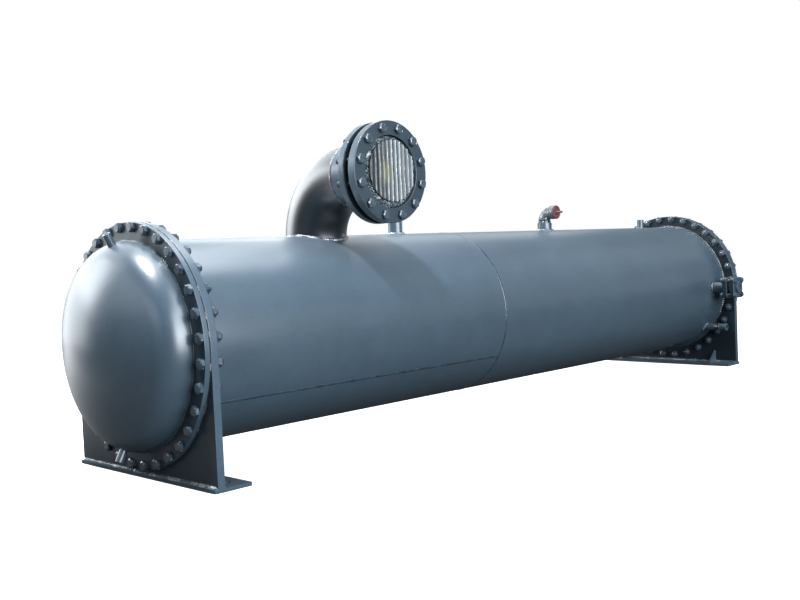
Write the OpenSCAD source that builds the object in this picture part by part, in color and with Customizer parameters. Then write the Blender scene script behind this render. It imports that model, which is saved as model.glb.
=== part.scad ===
// Shell and tube heat exchanger: a welded shell between two footed tube plates,
// a bolted dished head on each end, an elbowed nozzle on the crown and small connections.
// X runs along the shell, Z is up, and the floor under the middle of the anchor holes is the origin.

/* [Shell] */
// Outside diameter of the shell
shell_od = 650; // [600:10:720]
// Wall of the shell and of the dished heads
shell_wall = 10; // [6:1:16]
// Length of the shell between the tube plates
shell_len = 3248; // [2900:4:3900]
// Length of the near course, up to the girth weld
near_course_len = 1400; // [1250:10:1900]

/* [End plates] */
// Width of the plates and flanges outside the shell
flange_lip = 57; // [50:1:70]
// Thickness of each tube plate
tube_plate_t = 26; // [18:1:40]
// Thickness of each head gasket
gasket_t = 2; // [1:0.5:4]
// Thickness of each head flange
head_flange_t = 18; // [14:1:30]
// Bolts around each head
head_bolts = 32; // [24:4:36]
// Diameter of the head bolt holes
head_hole_d = 22; // [18:1:24]
// Distance from the bolt circle to the rim
bolt_edge = 15; // [13:1:20]

/* [Dished heads] */
// Outside radius of the crown of the dish
crown_r = 595; // [540:5:680]
// Outside radius of the knuckle
knuckle_r = 105; // [80:1:130]
// Depth of the weld recess behind each head's skirt
skirt_recess = 3; // [1:0.5:6]
// Tilt of the head vent and drain from the vertical
head_stub_tilt = 28; // [15:1:45]
// Outside diameter of the head vent and drain
head_stub_od = 26; // [20:1:34]
// Bore of the head vent and drain
head_stub_bore = 15; // [8:0.5:17]
// Length of the head vent and drain outside the dish
head_stub_len = 38; // [25:1:60]
// Room around the bore of the head vent and drain in the hole through the dish
head_stub_clearance = 1; // [0.5:0.5:3]

/* [Feet] */
// Thickness of each foot plate
foot_t = 12; // [8:1:20]
// Length of each foot plate along the shell
foot_len = 130; // [120:1:200]
// Foot plate in front of the tube plate
foot_toe = 10; // [4:1:24]
// Gap between the rim of the head flange and the foot plate
rim_clearance = 14; // [8:1:80]
// Thickness of the gussets
gusset_t = 10; // [6:1:16]
// Length of the gussets along the foot plate
gusset_run = 68; // [40:1:90]
// Height of the gussets up the tube plate
gusset_rise = 58; // [40:1:80]
// Distance from the sides of the tube plate to the gussets
gusset_inset = 117; // [100:1:180]
// Diameter of the anchor bolt holes
anchor_hole_d = 22; // [18:1:28]
// Distance from the ends of the foot plate to the anchor holes
anchor_inset = 57; // [35:1:80]
// Anchor hole centres behind the tube plate
anchor_setback = 47; // [30:1:60]

/* [Nozzle] */
// Distance from the near tube plate to the nozzle
nozzle_from_plate = 723; // [500:1:900]
// Outside diameter of the nozzle pipe
nozzle_od = 219; // [168:1:219]
// Wall of the nozzle pipe
nozzle_wall = 8; // [5:0.5:12]
// Height of the nozzle's flange centre above the crown
nozzle_rise = 197; // [190:1:260]
// Bend radius of the nozzle elbow
nozzle_bend_r = 208; // [180:1:240]
// Straight neck between the elbow and the flange
nozzle_neck_len = 106; // [70:1:160]
// Diameter of the nozzle flange and cover ring
nozzle_flange_od = 340; // [336:1:360]
// Thickness of the nozzle flange
nozzle_flange_t = 24; // [18:1:36]
// Diameter of the nozzle gasket pack
nozzle_gasket_od = 262; // [254:1:268]
// Thickness of the nozzle gasket pack
nozzle_gasket_t = 22; // [10:1:30]
// Thickness of the cover ring
cover_ring_t = 30; // [24:1:40]
// Opening of the cover ring
cover_window_d = 242; // [225:1:245]
// Bolts around the nozzle flange
nozzle_bolts = 12; // [8:4:12]
// Bolt circle of the nozzle flange
nozzle_pcd = 295; // [292:1:305]
// Diameter of the nozzle bolt holes
nozzle_hole_d = 22; // [18:1:24]
// Thickness of the clamped rim of the cover sheet
cover_sheet_t = 2; // [1:0.5:4]
// Height of the pleats of the cover sheet
cover_pleat_h = 9; // [4:1:12]
// Distance between the pleats of the cover sheet
cover_pleat_pitch = 20; // [14:1:30]

/* [Crown fittings] */
// Distance from the nozzle to the crown socket
crown_socket_from_nozzle = 412; // [330:1:560]
// Outside diameter of the crown socket
crown_socket_od = 57; // [40:1:70]
// Bore of the crown socket
crown_socket_bore = 45; // [25:1:50]
// Height of the crown socket
crown_socket_h = 48; // [30:1:60]
// Distance from the girth weld to the relief fitting
relief_from_girth = 728; // [300:1:1000]
// Outside diameter of the relief socket
relief_socket_od = 66; // [60:1:80]
// Height of the relief socket
relief_socket_h = 34; // [24:1:50]
// Outside diameter of the relief elbow
relief_elbow_od = 52; // [40:1:56]
// Wall of the relief elbow
relief_elbow_wall = 5; // [3:0.5:7]
// Bend radius of the relief elbow
relief_bend_r = 36; // [32:1:60]
// Straight leg of the relief elbow over its socket
relief_leg = 10; // [5:1:30]
// Diameter of the bead on the mouth of the relief elbow
relief_bead_od = 62; // [58:1:70]
// Length of the bead on the mouth of the relief elbow
relief_bead_len = 30; // [20:1:40]
// Thickness of the plug's head
plug_head_t = 5; // [3:0.5:10]
// Depth of the plug in the mouth
plug_depth = 14; // [8:1:25]
// Diameter of the plug's pull stem
plug_stem_d = 8; // [5:1:12]
// Length of the plug's pull stem
plug_stem_len = 20; // [10:1:30]
// Distance from the far tube plate to the vent nipple
vent_nipple_from_plate = 265; // [150:1:500]
// Outside diameter of the vent nipple
vent_nipple_od = 33; // [20:1:42]
// Bore of the vent nipple
vent_nipple_bore = 25; // [12:1:27]
// Height of the vent nipple
vent_nipple_h = 42; // [25:1:60]

/* [Side connections] */
// Distance from the far tube plate to the side outlet
outlet_from_plate = 107; // [100:1:200]
// Outside diameter of the outlet stub
outlet_od = 57; // [40:1:60]
// Wall of the outlet stub
outlet_wall = 5; // [3:0.5:8]
// Length of the outlet stub outside the shell
outlet_reach = 67; // [50:1:100]
// Side of the square outlet flanges
outlet_flange_w = 104; // [100:1:120]
// Corner radius of the square outlet flanges
outlet_corner_r = 16; // [14:1:20]
// Thickness of the inner outlet flange
outlet_inner_t = 22; // [14:1:30]
// Diameter of the outlet gasket pack
outlet_gasket_od = 64; // [60:1:70]
// Thickness of the outlet gasket pack
outlet_gasket_t = 18; // [8:1:24]
// Thickness of the outlet blank
outlet_blank_t = 20; // [14:1:30]
// Diameter of the boss on the outlet blank
outlet_boss_d = 56; // [40:1:64]
// Height of the boss on the outlet blank
outlet_boss_h = 8; // [4:1:14]
// Distance between the outlet bolt holes
outlet_bolt_spacing = 72; // [70:1:74]
// Diameter of the outlet bolt holes
outlet_hole_d = 17; // [13:1:19]
// Distance from the far tube plate to the drain socket
drain_from_plate = 67; // [56:1:120]
// Depth of the drain socket below the shell's axis
drain_drop = 206; // [150:1:240]
// Outside diameter of the drain socket
drain_od = 34; // [24:1:40]
// Bore of the drain socket
drain_bore = 24; // [12:1:28]
// Distance from the shell's side to the drain socket's mouth
drain_proud = 43; // [20:1:60]

/* [Hidden] */
$fn = 96;

// Room that a cut takes past the faces it opens
past = 1;
paint = [0.34, 0.41, 0.46];
gasket_grey = [0.10, 0.11, 0.12];
sheet_silver = [0.80, 0.82, 0.82];
plug_red = [0.72, 0.20, 0.16];
zinc = [0.62, 0.66, 0.68];

shell_r = shell_od / 2;
shell_in_r = shell_r - shell_wall;
flange_r = shell_r + flange_lip;
head_pcd_r = flange_r - bolt_edge;
axis_h = foot_t + rim_clearance + flange_r;
gusset_y = flange_r - gusset_inset;
anchor_y = flange_r - anchor_inset;

// Planes along the shell, measured from its middle
plate_in_x = shell_len / 2;
plate_out_x = plate_in_x + tube_plate_t;
flange_in_x = plate_out_x + gasket_t;
flange_out_x = flange_in_x + head_flange_t;
girth_x = near_course_len - plate_in_x;
foot_out_x = plate_out_x + foot_toe;
anchor_x = plate_in_x - anchor_setback;

// Meridian of the dished head: the knuckle and crown arcs meet on the line through their centres
knuckle_centre_r = shell_r - knuckle_r;
crown_centre_z = -sqrt(pow(crown_r - knuckle_r, 2) - pow(knuckle_centre_r, 2));
skirt_len = head_flange_t - skirt_recess;

// Nozzle, with its elbow in a plane across the shell
crown_z = axis_h + shell_r;
nozzle_x = nozzle_from_plate - plate_in_x;
nozzle_r = nozzle_od / 2;
nozzle_in_r = nozzle_r - nozzle_wall;
nozzle_z = crown_z + nozzle_rise;
elbow_start_z = nozzle_z - nozzle_bend_r;
nozzle_back_y = -(nozzle_bend_r + nozzle_neck_len);
nozzle_gasket_y = nozzle_back_y - nozzle_flange_t;
cover_ring_y = nozzle_gasket_y - nozzle_gasket_t - cover_sheet_t;
nozzle_face_y = cover_ring_y - cover_ring_t;

crown_socket_x = nozzle_x + crown_socket_from_nozzle;
relief_x = girth_x + relief_from_girth;
vent_nipple_x = plate_in_x - vent_nipple_from_plate;
outlet_x = plate_in_x - outlet_from_plate;
drain_x = plate_in_x - drain_from_plate;
drain_reach = shell_r + drain_proud;

relief_elbow_r = relief_elbow_od / 2;
relief_bore_r = relief_elbow_r - relief_elbow_wall;
relief_seat_z = crown_z + relief_socket_h;
relief_z = relief_seat_z + relief_leg + relief_bend_r;
relief_mouth_y = -(relief_bend_r + relief_bead_len);

outlet_r = outlet_od / 2;
outlet_bore_r = outlet_r - outlet_wall;
outlet_back_y = -(shell_r + outlet_reach);
outlet_gasket_y = outlet_back_y - outlet_inner_t;
outlet_blank_y = outlet_gasket_y - outlet_gasket_t;

// A near-end piece turned over to the far end
module far_end() {
  mirror([1, 0, 0]) children();
}

// A cylinder along +X from one plane, on the shell's axis
module along_shell(x, length, r) {
  translate([x, 0, axis_h]) rotate([0, 90, 0]) cylinder(r = r, h = length);
}

// The space inside the shell's outer surface, which trims what stands on it
module shell_space() {
  along_shell(-plate_in_x, shell_len, shell_r);
}

// A cylinder towards -Y that starts at a point
module towards_side(x, y, z, length, r) {
  translate([x, y, z]) rotate([90, 0, 0]) cylinder(r = r, h = length);
}

// Holes along the shell's axis on the head bolt circle, straddling the vertical
module head_holes(x, length) {
  for (i = [0 : head_bolts - 1])
    translate([0, 0, axis_h])
      rotate([(i + 0.5) * 360 / head_bolts, 0, 0])
        translate([x - past, 0, head_pcd_r])
          rotate([0, 90, 0])
            cylinder(d = head_hole_d, h = length + 2 * past);
}

// Holes across the shell on the nozzle's bolt circle, straddling the vertical
module nozzle_holes(y, length) {
  for (i = [0 : nozzle_bolts - 1])
    translate([nozzle_x, 0, nozzle_z])
      rotate([0, (i + 0.5) * 360 / nozzle_bolts, 0])
        towards_side(0, y + past, nozzle_pcd / 2, length + 2 * past, nozzle_hole_d / 2);
}

// A pipe stub on the crown, its lower end saddled on the shell
module crown_stub(x, od, bore, height) {
  difference() {
    translate([x, 0, crown_z - shell_wall - od / 2]) cylinder(d = od, h = shell_wall + od / 2 + height);
    translate([x, 0, axis_h]) cylinder(d = bore, h = shell_od);
    shell_space();
  }
}

// A quarter bend of pipe from straight up to -Y, placed by the centre of its bend
module quarter_bend(x, z, bend_r, outer_r, inner_r) {
  translate([x, -bend_r, z])
    rotate([90, 0, 90])
      rotate_extrude(angle = 90)
        translate([bend_r, 0])
          difference() {
            circle(r = outer_r);
            circle(r = inner_r);
          }
}

// Half meridian of the dish, inset from its outer surface
module dish_half(inset) {
  ray_end = [2 * knuckle_centre_r, -crown_centre_z];
  intersection() {
    translate([0, crown_centre_z]) circle(r = crown_r - inset);
    polygon([[0, 0], [knuckle_centre_r, 0], ray_end, [0, ray_end[1]]]);
  }
  intersection() {
    translate([knuckle_centre_r, 0]) circle(r = knuckle_r - inset);
    polygon([[knuckle_centre_r, 0], [shell_od, 0], [shell_od, ray_end[1]], ray_end]);
  }
}

// The space inside the dish's outer surface, with its open side on the near head flange
module dish_space() {
  translate([-flange_out_x, 0, axis_h]) rotate([0, -90, 0]) rotate_extrude() dish_half(0);
}

// A cylinder standing square through the knuckle of the near head, above or below its axis
module through_knuckle(up, d, length) {
  translate([-flange_out_x, 0, axis_h])
    mirror([0, 0, up ? 0 : 1])
      translate([0, 0, knuckle_centre_r])
        rotate([0, -head_stub_tilt, 0])
          translate([0, 0, knuckle_r - 2 * shell_wall])
            cylinder(d = d, h = 2 * shell_wall + length);
}

// A pipe stub on the near head, its inner end saddled on the knuckle
module head_stub(up) {
  color(paint)
    difference() {
      through_knuckle(up, head_stub_od, head_stub_len);
      through_knuckle(up, head_stub_bore, head_stub_len + past);
      dish_space();
    }
}

// A square flange with round corners and a hole near each corner, towards -Y from a plane
module square_flange(y, thickness) {
  straight = outlet_flange_w - 2 * outlet_corner_r;
  corner = straight / 2;
  difference() {
    union() {
      translate([outlet_x - corner, y - thickness, axis_h - outlet_flange_w / 2])
        cube([straight, thickness, outlet_flange_w]);
      translate([outlet_x - outlet_flange_w / 2, y - thickness, axis_h - corner])
        cube([outlet_flange_w, thickness, straight]);
      for (sx = [-1, 1], sz = [-1, 1])
        towards_side(outlet_x + sx * corner, y, axis_h + sz * corner, thickness, outlet_corner_r);
    }
    for (sx = [-1, 1], sz = [-1, 1])
      towards_side(outlet_x + sx * outlet_bolt_spacing / 2, y + past,
                   axis_h + sz * outlet_bolt_spacing / 2, thickness + 2 * past, outlet_hole_d / 2);
  }
}

module foot_plate() {
  color(paint)
    difference() {
      translate([-foot_out_x, -flange_r, 0]) cube([foot_len, 2 * flange_r, foot_t]);
      for (side = [-1, 1])
        translate([-anchor_x, side * anchor_y, -past])
          cylinder(d = anchor_hole_d, h = foot_t + 2 * past);
    }
}

module gussets() {
  color(paint)
    for (side = [-1, 1])
      translate([-plate_in_x, side * gusset_y + gusset_t / 2, foot_t])
        rotate([90, 0, 0])
          linear_extrude(gusset_t)
            polygon([[0, 0], [gusset_run, 0], [0, gusset_rise]]);
}

// Round over the top, straight at the sides and down to the foot plate
module tube_plate() {
  color(paint)
    difference() {
      translate([-plate_out_x, 0, 0])
        rotate([90, 0, 90])
          linear_extrude(tube_plate_t)
            union() {
              translate([0, axis_h]) circle(r = flange_r);
              translate([-flange_r, foot_t]) square([2 * flange_r, axis_h - foot_t]);
            }
      head_holes(-plate_out_x, tube_plate_t);
    }
}

module gasket() {
  color(gasket_grey)
    difference() {
      along_shell(-flange_in_x, gasket_t, flange_r);
      along_shell(-flange_in_x - past, gasket_t + 2 * past, shell_in_r);
      head_holes(-flange_in_x, gasket_t);
    }
}

module head_flange() {
  color(paint)
    difference() {
      along_shell(-flange_out_x, head_flange_t, flange_r);
      along_shell(-flange_out_x - past, head_flange_t + 2 * past, shell_r);
      head_holes(-flange_out_x, head_flange_t);
    }
}

// The dish with its short skirt let into the head flange, drilled for its vent and drain
module dished_head() {
  color(paint)
    difference() {
      translate([-flange_out_x, 0, axis_h])
        rotate([0, -90, 0])
          rotate_extrude()
            difference() {
              union() {
                dish_half(0);
                translate([0, -skirt_len]) square([shell_r, skirt_len]);
              }
              dish_half(shell_wall);
              translate([0, -skirt_len - past]) square([shell_in_r, skirt_len + past]);
            }
      for (up = [true, false])
        through_knuckle(up, head_stub_bore + 2 * head_stub_clearance, head_stub_len);
    }
}

module shell_near_course() {
  color(paint)
    difference() {
      along_shell(-plate_in_x, near_course_len, shell_r);
      along_shell(-plate_in_x - past, near_course_len + 2 * past, shell_in_r);
      translate([nozzle_x, 0, axis_h]) cylinder(r = nozzle_in_r, h = shell_od);
      translate([crown_socket_x, 0, axis_h]) cylinder(d = crown_socket_bore, h = shell_od);
    }
}

module shell_far_course() {
  length = plate_in_x - girth_x;
  color(paint)
    difference() {
      along_shell(girth_x, length, shell_r);
      along_shell(girth_x - past, length + 2 * past, shell_in_r);
      translate([relief_x, 0, axis_h]) cylinder(r = relief_bore_r, h = shell_od);
      translate([vent_nipple_x, 0, axis_h]) cylinder(d = vent_nipple_bore, h = shell_od);
      towards_side(outlet_x, 0, axis_h, shell_od, outlet_bore_r);
      towards_side(drain_x, 0, axis_h - drain_drop, shell_od, drain_bore / 2);
    }
}

// The bend and the short riser under it, saddled on the crown
module nozzle_elbow() {
  color(paint)
    difference() {
      union() {
        quarter_bend(nozzle_x, elbow_start_z, nozzle_bend_r, nozzle_r, nozzle_in_r);
        difference() {
          translate([nozzle_x, 0, axis_h + nozzle_r]) cylinder(r = nozzle_r, h = elbow_start_z - axis_h - nozzle_r);
          translate([nozzle_x, 0, axis_h]) cylinder(r = nozzle_in_r, h = elbow_start_z - axis_h);
        }
      }
      shell_space();
    }
}

module nozzle_neck() {
  color(paint)
    difference() {
      towards_side(nozzle_x, -nozzle_bend_r, nozzle_z, nozzle_neck_len, nozzle_r);
      towards_side(nozzle_x, -nozzle_bend_r + past, nozzle_z, nozzle_neck_len + 2 * past, nozzle_in_r);
    }
}

module nozzle_flange() {
  color(paint)
    difference() {
      towards_side(nozzle_x, nozzle_back_y, nozzle_z, nozzle_flange_t, nozzle_flange_od / 2);
      towards_side(nozzle_x, nozzle_back_y + past, nozzle_z, nozzle_flange_t + 2 * past, nozzle_in_r);
      nozzle_holes(nozzle_back_y, nozzle_flange_t);
    }
}

module nozzle_gasket() {
  color(gasket_grey)
    difference() {
      towards_side(nozzle_x, nozzle_gasket_y, nozzle_z, nozzle_gasket_t, nozzle_gasket_od / 2);
      towards_side(nozzle_x, nozzle_gasket_y + past, nozzle_z, nozzle_gasket_t + 2 * past, nozzle_in_r);
    }
}

module nozzle_cover_ring() {
  color(paint)
    difference() {
      towards_side(nozzle_x, cover_ring_y, nozzle_z, cover_ring_t, nozzle_flange_od / 2);
      towards_side(nozzle_x, cover_ring_y + past, nozzle_z, cover_ring_t + 2 * past, cover_window_d / 2);
      nozzle_holes(cover_ring_y, cover_ring_t);
    }
}

// A flat rim clamped behind the cover ring, with upright pleats filling the ring's opening
module nozzle_cover_sheet() {
  pleats = ceil(cover_window_d / cover_pleat_pitch / 2);
  color(sheet_silver) {
    towards_side(nozzle_x, cover_ring_y + cover_sheet_t, nozzle_z, cover_sheet_t, nozzle_gasket_od / 2);
    intersection() {
      towards_side(nozzle_x, cover_ring_y, nozzle_z, cover_pleat_h, cover_window_d / 2);
      translate([nozzle_x, cover_ring_y, nozzle_z - cover_window_d / 2])
        linear_extrude(cover_window_d)
          for (i = [-pleats : pleats])
            polygon([[(i - 0.5) * cover_pleat_pitch, 0], [(i + 0.5) * cover_pleat_pitch, 0],
                     [i * cover_pleat_pitch, -cover_pleat_h]]);
    }
  }
}

module crown_socket() {
  color(paint) crown_stub(crown_socket_x, crown_socket_od, crown_socket_bore, crown_socket_h);
}

module relief_socket() {
  color(paint) crown_stub(relief_x, relief_socket_od, 2 * relief_bore_r, relief_socket_h);
}

// A short leg, a quarter bend and a beaded mouth
module relief_elbow() {
  color(zinc) {
    difference() {
      translate([relief_x, 0, relief_seat_z]) cylinder(r = relief_elbow_r, h = relief_leg);
      translate([relief_x, 0, relief_seat_z - past]) cylinder(r = relief_bore_r, h = relief_leg + 2 * past);
    }
    quarter_bend(relief_x, relief_seat_z + relief_leg, relief_bend_r, relief_elbow_r, relief_bore_r);
    difference() {
      towards_side(relief_x, -relief_bend_r, relief_z, relief_bead_len, relief_bead_od / 2);
      towards_side(relief_x, -relief_bend_r + past, relief_z, relief_bead_len + 2 * past, relief_bore_r);
    }
  }
}

// A push-in plug with a flat head and a pull stem
module relief_plug() {
  color(plug_red) {
    towards_side(relief_x, relief_mouth_y + plug_depth, relief_z, plug_depth, relief_bore_r);
    towards_side(relief_x, relief_mouth_y, relief_z, plug_head_t, relief_elbow_r);
    towards_side(relief_x, relief_mouth_y - plug_head_t, relief_z, plug_stem_len, plug_stem_d / 2);
  }
}

module vent_nipple() {
  color(paint) crown_stub(vent_nipple_x, vent_nipple_od, vent_nipple_bore, vent_nipple_h);
}

module outlet_stub() {
  color(paint)
    difference() {
      towards_side(outlet_x, -shell_r + shell_wall, axis_h, outlet_reach + shell_wall, outlet_r);
      towards_side(outlet_x, 0, axis_h, shell_od, outlet_bore_r);
      shell_space();
    }
}

module outlet_inner_flange() {
  color(paint)
    difference() {
      square_flange(outlet_back_y, outlet_inner_t);
      towards_side(outlet_x, 0, axis_h, shell_od, outlet_bore_r);
    }
}

module outlet_gasket() {
  color(gasket_grey) towards_side(outlet_x, outlet_gasket_y, axis_h, outlet_gasket_t, outlet_gasket_od / 2);
}

module outlet_blank() {
  color(paint) {
    square_flange(outlet_blank_y, outlet_blank_t);
    towards_side(outlet_x, outlet_blank_y - outlet_blank_t, axis_h, outlet_boss_h, outlet_boss_d / 2);
  }
}

module drain_socket() {
  color(paint)
    difference() {
      towards_side(drain_x, 0, axis_h - drain_drop, drain_reach, drain_od / 2);
      towards_side(drain_x, past, axis_h - drain_drop, drain_reach + 2 * past, drain_bore / 2);
      shell_space();
    }
}

foot_plate();  // near_foot_plate
far_end() foot_plate();  // far_foot_plate
gussets();  // near_gussets
far_end() gussets();  // far_gussets
tube_plate();  // near_tube_plate
far_end() tube_plate();  // far_tube_plate
gasket();  // near_gasket
far_end() gasket();  // far_gasket
head_flange();  // near_head_flange
far_end() head_flange();  // far_head_flange
dished_head();  // near_dished_head
far_end() dished_head();  // far_dished_head
head_stub(true);  // near_head_vent
far_end() head_stub(true);  // far_head_vent
head_stub(false);  // near_head_drain
far_end() head_stub(false);  // far_head_drain
shell_near_course();
shell_far_course();
nozzle_elbow();
nozzle_neck();
nozzle_flange();
nozzle_gasket();
nozzle_cover_ring();
nozzle_cover_sheet();
crown_socket();
relief_socket();
relief_elbow();
relief_plug();
vent_nipple();
outlet_stub();
outlet_inner_flange();
outlet_gasket();
outlet_blank();
drain_socket();
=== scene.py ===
"""Looks of a shell and tube heat exchanger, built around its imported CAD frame.

X runs along the shell from the near head to the far head, the nozzle faces -Y, Z is up, lengths are metres.
"""

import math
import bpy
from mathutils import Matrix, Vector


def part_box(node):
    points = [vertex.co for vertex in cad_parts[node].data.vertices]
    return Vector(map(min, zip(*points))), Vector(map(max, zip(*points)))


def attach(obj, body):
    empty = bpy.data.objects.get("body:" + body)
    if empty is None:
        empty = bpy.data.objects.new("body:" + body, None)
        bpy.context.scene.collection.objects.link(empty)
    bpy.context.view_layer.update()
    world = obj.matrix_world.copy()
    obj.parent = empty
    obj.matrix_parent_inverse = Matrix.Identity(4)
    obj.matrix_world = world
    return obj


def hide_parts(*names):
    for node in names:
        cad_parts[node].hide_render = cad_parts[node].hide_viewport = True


bl_info = {
    "name": "Shell and tube heat exchanger",
    "version": (1, 0, 0),
    "blender": (4, 5, 0),
    "location": "View3D > Sidebar > Exchanger",
    "description": "Finishes, bolts, welds and fittings of a heat exchanger around its CAD frame",
    "category": "Object",
}

from functools import partial
from typing import NamedTuple

import bmesh
import bpy
import numpy as np
from bpy.props import FloatProperty, FloatVectorProperty, IntProperty, PointerProperty
from bpy.types import Operator, Panel, PropertyGroup
from mathutils import Matrix, Vector

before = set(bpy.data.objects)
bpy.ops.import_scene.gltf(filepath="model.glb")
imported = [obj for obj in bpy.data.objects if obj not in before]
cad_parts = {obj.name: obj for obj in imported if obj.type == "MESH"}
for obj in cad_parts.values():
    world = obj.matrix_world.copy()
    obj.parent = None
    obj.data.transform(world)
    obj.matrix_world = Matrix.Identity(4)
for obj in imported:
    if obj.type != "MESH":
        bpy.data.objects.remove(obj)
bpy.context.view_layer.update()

BODY = "root"
TURN = 2 * math.pi
X_AXIS, Y_AXIS, Z_AXIS = np.eye(3)
ENDS = (("near", -1.0), ("far", 1.0))

# A point this close to a rounded edge keeps the flat beside it flat
HOLD = 0.0006
# Points closer than this are one point
SAME_POINT = 2e-6
# Radius of the rounds on the rims of plates and rings
EDGE = 0.0022
# Points along a weld bead for each of its ripples
RIPPLE_STEPS = 4
# Faces that meet at more than this angle, in degrees, keep a sharp edge
CREASE = 32.0
BOLT_CREASE = 24.0
# Length of a ripple in the beads around stubs, and how far a fillet's crown leans
STUB_PITCH = 0.006
LEAN = math.pi / 4
# How deep a thread's end starts inside its nut
NUT_OVERLAP = 0.002
# Thickness of the cover's film
FILM_THICK = 0.0008
# Height of the finest bumps in the finishes
BUMP_HEIGHT = 0.001


def extent(node):
    """Lowest and highest corner of a CAD node as arrays."""
    low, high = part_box(node)
    return np.array(low), np.array(high)


def middle(node):
    """Centre of a CAD node's box."""
    low, high = extent(node)
    return (low + high) / 2


def half_size(node):
    """Half the width of a CAD node's box along each axis."""
    low, high = extent(node)
    return (high - low) / 2


SHELL_R = half_size("shell_near_course")[2]
AXIS_Z = middle("shell_near_course")[2]
AXIS_POINT = AXIS_Z * Z_AXIS
GIRTH_X = extent("shell_near_course")[1][0]
PLATE_LOW, PLATE_HIGH = extent("far_tube_plate")
PLATE_IN, PLATE_OUT = PLATE_LOW[0], PLATE_HIGH[0]
PLATE_R = PLATE_HIGH[1]
PLATE_FOOT = PLATE_LOW[2]
HEAD_LOW, HEAD_HIGH = extent("far_head_flange")
HEAD_IN, HEAD_OUT = HEAD_LOW[0], HEAD_HIGH[0]
NECK_LOW, NECK_HIGH = extent("nozzle_neck")
NOZZLE = middle("nozzle_neck")
NOZZLE_R = half_size("nozzle_neck")[0]
NOZZLE_AXIS = NOZZLE * (X_AXIS + Z_AXIS)


# Surfaces on grids


def unit(vectors):
    """Vectors scaled to length one."""
    vectors = np.asarray(vectors, float)
    return vectors / np.linalg.norm(vectors, axis=-1, keepdims=True)


def side_axes(axis):
    """Two directions square to an axis and to each other."""
    axis = unit(axis)
    first = unit(np.cross(axis, np.eye(3)[np.argmin(np.abs(axis))]))
    return first, np.cross(axis, first)


def grid(points, close_rows=False, close_cols=False):
    """Vertices and quads of a rows by columns grid of points, joined end to end where it closes."""
    rows, cols = points.shape[:2]
    row, col = np.meshgrid(
        np.arange(rows if close_rows else rows - 1),
        np.arange(cols if close_cols else cols - 1),
        indexing="ij",
    )
    row_next = (row + 1) % rows
    col_next = (col + 1) % cols
    corners = (row * cols + col, row * cols + col_next, row_next * cols + col_next, row_next * cols + col)
    return points.reshape(-1, 3), np.stack(corners, axis=-1).reshape(-1, 4)


def joined(parts):
    """One vertex list and one quad list from several, each part numbered on from the last."""
    starts = np.cumsum([0] + [len(points) for points, _ in parts[:-1]])
    points = np.concatenate([part[0] for part in parts])
    faces = np.concatenate([part[1] + start for part, start in zip(parts, starts)])
    return points, faces


def rounded(corners, radius, steps=4):
    """A closed outline with each corner swapped for an arc that is tangent to both its sides.

    The arc turns about a point on the corner's bisector, radius / sin(half angle) from the corner.
    """
    corners = np.asarray(corners, float)
    radius = np.broadcast_to(radius, len(corners))
    back = unit(np.roll(corners, 1, axis=0) - corners)
    ahead = unit(np.roll(corners, -1, axis=0) - corners)
    half = np.arccos(np.clip((back * ahead).sum(1), -1, 1)) / 2
    reach = (radius / np.tan(half))[:, None]
    centre = corners + unit(back + ahead) * (radius / np.sin(half))[:, None]
    start = (corners + back * reach - centre)[:, None]
    stop = (corners + ahead * reach - centre)[:, None]
    sweep = (math.pi - 2 * half)[:, None, None]
    k = np.linspace(0, 1, steps + 1)[None, :, None]
    arc = centre[:, None] + (start * np.sin((1 - k) * sweep) + stop * np.sin(k * sweep)) / np.sin(sweep)
    before = (corners + back * (reach + HOLD))[:, None]
    after = (corners + ahead * (reach + HOLD))[:, None]
    return np.concatenate([before, arc, after], axis=1).reshape(-1, 2)


def angles(count):
    """Evenly spaced angles around a full turn."""
    return np.linspace(0, TURN, count, endpoint=False)


def spokes(axis, t):
    """Directions square to an axis, one for each angle t."""
    first, second = side_axes(axis)
    return np.cos(t)[:, None] * first + np.sin(t)[:, None] * second


def lathe(profile, centre, axis, around=96, closed=True):
    """Turns a profile of (out, along) pairs: centre + along * axis + out * (cos t, sin t) square to it."""
    ring = spokes(axis, angles(around))
    profile = np.asarray(profile, float)
    points = centre + profile[:, 1, None, None] * unit(axis) + profile[:, 0, None, None] * ring
    return grid(points, closed, True)


def ring_profile(inner, outer, low, high, edge):
    """Section of a ring with rounded edges, as (out, along) pairs."""
    return rounded([(inner, low), (outer, low), (outer, high), (inner, high)], edge)


def dish_arc(rim, apex, radius, knuckle):
    """Section of a dished head from its pole to its rim, as (out, along) pairs.

    A crown arc C about the axis and a knuckle arc k about (R - k, rim) are tangent where they meet, which
    gives C = (d^2 + (R - k)^2 - k^2) / (2 (d - k)) for a head of depth d.
    """
    depth = apex - rim
    inset = radius - knuckle
    crown = (depth**2 + inset**2 - knuckle**2) / (2 * (depth - knuckle))
    meet = math.asin(inset / (crown - knuckle))
    a = np.linspace(0, meet, 48)[:-1]
    b = np.linspace(meet, math.pi / 2, 40)
    out = np.concatenate([crown * np.sin(a), inset + knuckle * np.sin(b)])
    along = np.concatenate([apex - crown + crown * np.cos(a), rim + knuckle * np.cos(b)])
    return np.stack([out, along], axis=1)


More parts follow.
